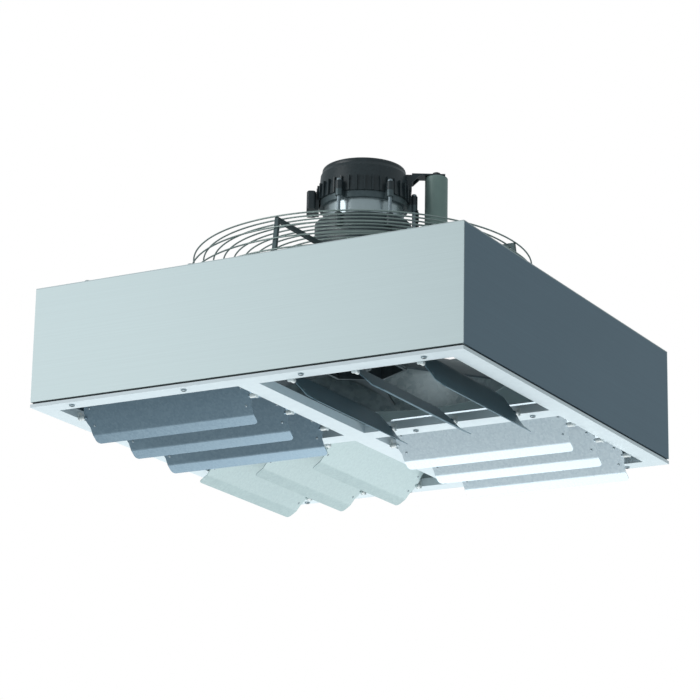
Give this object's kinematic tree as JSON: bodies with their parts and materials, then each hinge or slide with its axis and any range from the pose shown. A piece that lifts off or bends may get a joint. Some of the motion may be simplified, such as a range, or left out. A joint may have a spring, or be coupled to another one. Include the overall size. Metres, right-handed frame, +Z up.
{
  "type": "cased axial fan",
  "caption": "Square ceiling air-mixing fan: a sheet-steel casing with a motor and wire guard on top, an axial impeller inside and hand-set louvres in the face frame below.",
  "frame": {"origin": "centre of the four suspension inserts, on the top plane of the casing's top plate", "axes": "+Z up, out of the suspension inserts and along the motor's axis; the casing's front face looks along -Y and its right face along +X"},
  "size_m": [0.7, 0.7, 0.455],
  "materials": {
    "casing_steel": "brushed zinc-coated sheet, satin",
    "frame_white": "smooth white paint",
    "louvre_steel": "spangled zinc-coated sheet",
    "bush_white": "white nylon",
    "seal_dark": "dark foam rubber",
    "guard_zinc": "zinc-plated wire",
    "motor_black": "black moulding, satin",
    "motor_dark_metal": "dark grey enamel",
    "stator_aluminium": "machined aluminium",
    "core_steel": "laminated steel",
    "winding_copper": "varnished copper wire",
    "capacitor_grey": "grey-green satin can",
    "gland_black": "black nylon",
    "impeller_aluminium": "sheet aluminium, satin",
    "inlet_steel": "zinc-coated sheet, spun",
    "fastener_steel": "zinc-plated"
  },
  "bodies": {
    "casing": {"cable_gland": "gland_black", "capacitor": "capacitor_grey", "capacitor_bracket": "motor_dark_metal", "capacitor_nut": "fastener_steel", "face_screws": "fastener_steel", "flange_ring": "stator_aluminium", "front_bar": "frame_white", "front_panel": "casing_steel", "guard_arms": "guard_zinc", "guard_bolts": "fastener_steel", "guard_side_rings": "guard_zinc", "guard_top_rings": "guard_zinc", "inlet_ring": "inlet_steel", "lead_gland": "gland_black", "left_bar": "frame_white", "left_panel": "casing_steel", "long_cross_bar": "frame_white", "lower_bearing": "fastener_steel", "lower_shield": "motor_dark_metal", "motor_bolts": "fastener_steel", "motor_cap": "motor_black", "motor_plate": "motor_dark_metal", "pivot_bushes": "bush_white", "rear_bar": "frame_white", "rear_panel": "casing_steel", "right_bar": "frame_white", "right_panel": "casing_steel", "seal_strip": "seal_dark", "short_cross_bars": "frame_white", "stator_can": "stator_aluminium", "stator_core": "core_steel", "stator_winding": "winding_copper", "suspension_inserts": "fastener_steel", "terminal_box": "motor_black", "tie_bolts": "fastener_steel", "top_plate": "casing_steel", "top_screws": "fastener_steel", "upper_bearing": "fastener_steel"},
    "impeller": {"impeller_blade_1": "impeller_aluminium", "impeller_blade_2": "impeller_aluminium", "impeller_blade_3": "impeller_aluminium", "impeller_blade_4": "impeller_aluminium", "impeller_blade_5": "impeller_aluminium", "impeller_blade_6": "impeller_aluminium", "impeller_hub": "impeller_aluminium", "impeller_screw": "fastener_steel", "motor_shaft": "fastener_steel", "rotor_core": "core_steel"},
    "louvre_front_right_1": {"louvre_front_right_1": "louvre_steel"},
    "louvre_front_right_2": {"louvre_front_right_2": "louvre_steel"},
    "louvre_front_right_3": {"louvre_front_right_3": "louvre_steel"},
    "louvre_front_left_1": {"louvre_front_left_1": "louvre_steel"},
    "louvre_front_left_2": {"louvre_front_left_2": "louvre_steel"},
    "louvre_front_left_3": {"louvre_front_left_3": "louvre_steel"},
    "louvre_rear_left_1": {"louvre_rear_left_1": "louvre_steel"},
    "louvre_rear_left_2": {"louvre_rear_left_2": "louvre_steel"},
    "louvre_rear_left_3": {"louvre_rear_left_3": "louvre_steel"},
    "louvre_rear_right_1": {"louvre_rear_right_1": "louvre_steel"},
    "louvre_rear_right_2": {"louvre_rear_right_2": "louvre_steel"},
    "louvre_rear_right_3": {"louvre_rear_right_3": "louvre_steel"}
  },
  "joints": [
    {"name": "impeller_spin", "type": "hinge", "parent": "casing", "child": "impeller", "pos_m": [0, 0, 0.1], "axis": [0, 0, 1], "continuous": true},
    {"name": "louvre_front_right_1_tilt", "type": "hinge", "parent": "casing", "child": "louvre_front_right_1", "pos_m": [0.06743, -0.1683, -0.18], "axis": [0, 1, 0], "range_deg": [-44.5, 40.5]},
    {"name": "louvre_front_right_2_tilt", "type": "hinge", "parent": "casing", "child": "louvre_front_right_2", "pos_m": [0.1683, -0.1683, -0.18], "axis": [0, 1, 0], "range_deg": [-38.5, 46.5]},
    {"name": "louvre_front_right_3_tilt", "type": "hinge", "parent": "casing", "child": "louvre_front_right_3", "pos_m": [0.26917, -0.1683, -0.18], "axis": [0, 1, 0], "range_deg": [-50.5, 34.5]},
    {"name": "louvre_front_left_1_tilt", "type": "hinge", "parent": "casing", "child": "louvre_front_left_1", "pos_m": [-0.1683, -0.06743, -0.18], "axis": [-1, 0, 0], "range_deg": [-49, 36]},
    {"name": "louvre_front_left_2_tilt", "type": "hinge", "parent": "casing", "child": "louvre_front_left_2", "pos_m": [-0.1683, -0.1683, -0.18], "axis": [-1, 0, 0], "range_deg": [-49, 36]},
    {"name": "louvre_front_left_3_tilt", "type": "hinge", "parent": "casing", "child": "louvre_front_left_3", "pos_m": [-0.1683, -0.26917, -0.18], "axis": [-1, 0, 0], "range_deg": [-49, 36]},
    {"name": "louvre_rear_left_1_tilt", "type": "hinge", "parent": "casing", "child": "louvre_rear_left_1", "pos_m": [-0.06743, 0.1683, -0.18], "axis": [0, -1, 0], "range_deg": [-46, 39]},
    {"name": "louvre_rear_left_2_tilt", "type": "hinge", "parent": "casing", "child": "louvre_rear_left_2", "pos_m": [-0.1683, 0.1683, -0.18], "axis": [0, -1, 0], "range_deg": [-46, 39]},
    {"name": "louvre_rear_left_3_tilt", "type": "hinge", "parent": "casing", "child": "louvre_rear_left_3", "pos_m": [-0.26917, 0.1683, -0.18], "axis": [0, -1, 0], "range_deg": [-46, 39]},
    {"name": "louvre_rear_right_1_tilt", "type": "hinge", "parent": "casing", "child": "louvre_rear_right_1", "pos_m": [0.1683, 0.06743, -0.18], "axis": [-1, 0, 0], "range_deg": [-46.5, 38.5]},
    {"name": "louvre_rear_right_2_tilt", "type": "hinge", "parent": "casing", "child": "louvre_rear_right_2", "pos_m": [0.1683, 0.1683, -0.18], "axis": [-1, 0, 0], "range_deg": [-46.5, 38.5]},
    {"name": "louvre_rear_right_3_tilt", "type": "hinge", "parent": "casing", "child": "louvre_rear_right_3", "pos_m": [0.1683, 0.26917, -0.18], "axis": [-1, 0, 0], "range_deg": [-46.5, 38.5]}
  ]
}
